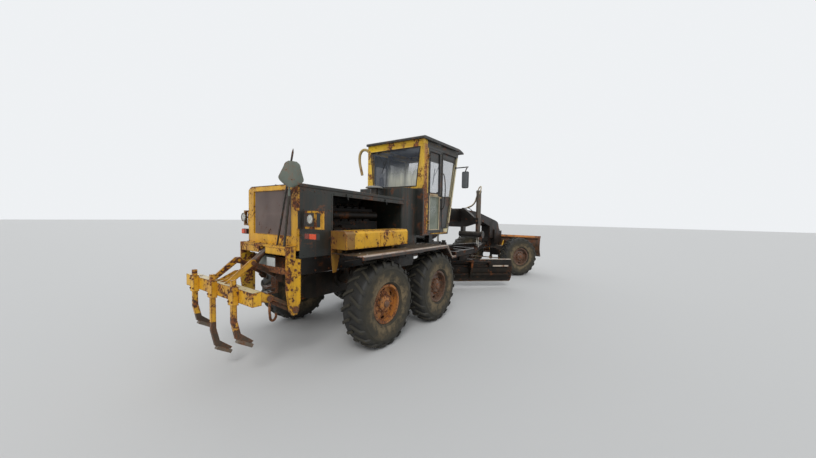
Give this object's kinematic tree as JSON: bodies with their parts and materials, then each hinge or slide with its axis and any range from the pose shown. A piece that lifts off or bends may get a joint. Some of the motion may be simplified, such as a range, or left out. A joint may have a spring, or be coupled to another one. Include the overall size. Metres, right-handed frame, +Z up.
{
  "type": "motor grader",
  "caption": "Six-wheeled road grader with an open engine bay, a hollow cab, a turned blade under a box neck, a rear ripper and a front dozer blade.",
  "frame": {"origin": "on the ground under the middle of the machine's length and width", "axes": "+X forward, +Y to the machine's left, +Z up"},
  "size_m": [10.04, 2.9668, 3.445],
  "materials": {
    "yellow_paint": "weathered yellow enamel with rust blotches",
    "black_paint": "faded black enamel",
    "dark_hood": "dark grey-green enamel",
    "frame_paint": "dark oily paint and dust",
    "rust_iron": "rusty cast steel",
    "rim_orange": "rusty orange enamel",
    "rim_brown": "brown rusty enamel",
    "tyre_rubber": "dusty dark rubber",
    "window_glass": "clear flat glass",
    "lamp_glass": "lamp lenses",
    "cushion": "worn tan cover",
    "grille_metal": "grey-brown slats",
    "rod_chrome": "polished rod",
    "edge_steel": "worn cutting steel",
    "bare_steel": "weathered steel",
    "fender_paint": "dusty pale paint",
    "blade_orange": "orange-yellow enamel and rust"
  },
  "bodies": {
    "chassis": {"main_frame": "frame_paint", "neck": "frame_paint", "front_axle": "frame_paint", "rear_axle": "frame_paint", "tandem_cases": "rust_iron", "gearbox": "frame_paint", "engine": "frame_paint", "radiator_frame": "yellow_paint", "radiator_grille": "grille_metal", "hood": "dark_hood", "oil_tank": "dark_hood", "air_cleaner": "dark_hood", "side_boxes": "yellow_paint", "fenders": "fender_paint", "cab_lower": "black_paint", "cab_frame": "yellow_paint", "cab_roof": "black_paint", "cab_glass": "window_glass", "seat": "cushion", "steering_console": "black_paint", "mirrors": "black_paint", "cab_tube": "yellow_paint", "rear_lamps": "lamp_glass", "rear_bracket": "yellow_paint", "hand_tools": "bare_steel", "lift_saddle": "frame_paint", "barrels": "rust_iron"},
    "wheel_rear_right": {"rim_rear_right": "rim_orange", "tyre_rear_right": "tyre_rubber"},
    "wheel_rear_left": {"rim_rear_left": "rim_orange", "tyre_rear_left": "tyre_rubber"},
    "wheel_middle_right": {"rim_middle_right": "rim_brown", "tyre_middle_right": "tyre_rubber"},
    "wheel_middle_left": {"rim_middle_left": "rim_brown", "tyre_middle_left": "tyre_rubber"},
    "knuckle_right": {"knuckle_right": "frame_paint"},
    "wheel_front_right": {"rim_front_right": "rim_brown", "tyre_front_right": "tyre_rubber"},
    "knuckle_left": {"knuckle_left": "frame_paint"},
    "wheel_front_left": {"rim_front_left": "rim_brown", "tyre_front_left": "tyre_rubber"},
    "tie_rod": {"tie_rod": "bare_steel"},
    "drawbar": {"drawbar": "frame_paint"},
    "turntable": {"turntable": "frame_paint"},
    "blade": {"moldboard": "black_paint", "cutting_edge": "edge_steel"},
    "lift_rods": {"lift_rods": "rod_chrome"},
    "ripper_arms": {"ripper_arms": "yellow_paint"},
    "ripper_links": {"ripper_links": "yellow_paint"},
    "ripper": {"ripper": "yellow_paint"},
    "ripper_barrel": {"ripper_barrel": "rust_iron"},
    "ripper_rod": {"ripper_rod": "rod_chrome"},
    "dozer_arms": {"dozer_arms": "yellow_paint"},
    "dozer_links": {"dozer_links": "yellow_paint"},
    "dozer_blade": {"dozer_blade": "blade_orange"},
    "dozer_rod": {"dozer_rod": "rod_chrome"},
    "door_right": {"door_right": "yellow_paint", "door_glass_right": "window_glass"},
    "door_left": {"door_left": "yellow_paint", "door_glass_left": "window_glass"}
  },
  "joints": [
    {"name": "wheel_rear_right_spin", "type": "hinge", "parent": "chassis", "child": "wheel_rear_right", "pos_m": [-3.1535, -1, 0.63], "axis": [0, 1, 0], "continuous": true},
    {"name": "wheel_rear_left_spin", "type": "hinge", "parent": "chassis", "child": "wheel_rear_left", "pos_m": [-3.1535, 1, 0.63], "axis": [0, 1, 0], "continuous": true},
    {"name": "wheel_middle_right_spin", "type": "hinge", "parent": "chassis", "child": "wheel_middle_right", "pos_m": [-1.6865, -1, 0.63], "axis": [0, 1, 0], "continuous": true},
    {"name": "wheel_middle_left_spin", "type": "hinge", "parent": "chassis", "child": "wheel_middle_left", "pos_m": [-1.6865, 1, 0.63], "axis": [0, 1, 0], "continuous": true},
    {"name": "steering", "type": "hinge", "parent": "chassis", "child": "knuckle_right", "pos_m": [4.06, -0.8, 0.63], "axis": [0, 0, 1], "range_deg": [-2, 74]},
    {"name": "wheel_front_right_spin", "type": "hinge", "parent": "knuckle_right", "child": "wheel_front_right", "pos_m": [3.94244, -0.9618, 0.63], "axis": [0.5878, 0.809, 0], "continuous": true},
    {"name": "steering_left", "type": "hinge", "parent": "chassis", "child": "knuckle_left", "pos_m": [4.06, 0.8, 0.63], "axis": [0, 0, 1], "range_deg": [-2, 74]},
    {"name": "wheel_front_left_spin", "type": "hinge", "parent": "knuckle_left", "child": "wheel_front_left", "pos_m": [4.17756, 0.9618, 0.63], "axis": [0.5878, 0.809, 0], "continuous": true},
    {"name": "tie_rod_slide", "type": "slide", "parent": "chassis", "child": "tie_rod", "axis": [0, 1, 0], "range_m": [-0.36, 0.03]},
    {"name": "blade_lift", "type": "hinge", "parent": "chassis", "child": "drawbar", "pos_m": [3.38, 0, 1.02], "axis": [0, 1, 0], "range_deg": [-9.5, 3.2]},
    {"name": "lift_rods_slide", "type": "slide", "parent": "chassis", "child": "lift_rods", "axis": [0, 0, 1], "range_m": [-0.36, 0.13]},
    {"name": "turntable_turn", "type": "hinge", "parent": "drawbar", "child": "turntable", "pos_m": [0.68, 0, 0.9], "axis": [0, 0, 1], "continuous": true},
    {"name": "blade_shift", "type": "slide", "parent": "turntable", "child": "blade", "axis": [-0.6691, 0.7431, 0], "range_m": [-0.35, 0.35]},
    {"name": "ripper_lift", "type": "hinge", "parent": "chassis", "child": "ripper_arms", "pos_m": [-4.27, 0, 0.7], "axis": [0, 1, 0], "range_deg": [-50, 0]},
    {"name": "ripper_level", "type": "hinge", "parent": "ripper_arms", "child": "ripper", "pos_m": [-4.60922, 0, 0.91197], "axis": [0, 1, 0], "range_deg": [0, 50]},
    {"name": "ripper_links_swing", "type": "hinge", "parent": "chassis", "child": "ripper_links", "pos_m": [-4.27, 0, 1.08], "axis": [0, 1, 0], "range_deg": [-50, 0]},
    {"name": "ripper_barrel_swing", "type": "hinge", "parent": "chassis", "child": "ripper_barrel", "pos_m": [-4.32, 0, 1.42], "axis": [0, 1, 0], "range_deg": [-25, 25]},
    {"name": "ripper_rod_slide", "type": "slide", "parent": "ripper_barrel", "child": "ripper_rod", "axis": [-0.7917, 0, -0.6108], "range_m": [0, 0.3]},
    {"name": "dozer_lift", "type": "hinge", "parent": "chassis", "child": "dozer_arms", "pos_m": [4.477, 0, 0.45], "axis": [0, 1, 0], "range_deg": [0, 88]},
    {"name": "dozer_level", "type": "hinge", "parent": "dozer_arms", "child": "dozer_blade", "pos_m": [4.75984, 0, 0.73284], "axis": [0, 1, 0], "range_deg": [-88, 0]},
    {"name": "dozer_links_swing", "type": "hinge", "parent": "chassis", "child": "dozer_links", "pos_m": [4.477, 0, 0.76], "axis": [0, 1, 0], "range_deg": [0, 88]},
    {"name": "dozer_rod_slide", "type": "slide", "parent": "chassis", "child": "dozer_rod", "axis": [0.0965, 0, -0.9953], "range_m": [0, 0.3]},
    {"name": "door_right_swing", "type": "hinge", "parent": "chassis", "child": "door_right", "pos_m": [-1.414, -0.734, 2.4], "axis": [0, 0, 1], "range_deg": [-85, 0]},
    {"name": "door_left_swing", "type": "hinge", "parent": "chassis", "child": "door_left", "pos_m": [-1.414, 0.734, 2.4], "axis": [0, 0, 1], "range_deg": [0, 85]}
  ],
  "couplings": [
    {"joint": "steering_left", "follows": "steering", "ratio": 1},
    {"joint": "tie_rod_slide", "follows": "steering", "m_per_rad": -0.261},
    {"joint": "lift_rods_slide", "follows": "blade_lift", "m_per_rad": 2.05},
    {"joint": "ripper_level", "follows": "ripper_lift", "ratio": -1},
    {"joint": "ripper_links_swing", "follows": "ripper_lift", "ratio": 1},
    {"joint": "ripper_barrel_swing", "follows": "ripper_lift", "ratio": 0.38976},
    {"joint": "ripper_rod_slide", "follows": "ripper_lift", "m_per_rad": -0.31961},
    {"joint": "dozer_level", "follows": "dozer_lift", "ratio": -1},
    {"joint": "dozer_links_swing", "follows": "dozer_lift", "ratio": 1},
    {"joint": "dozer_rod_slide", "follows": "dozer_lift", "m_per_rad": 0.18035}
  ]
}
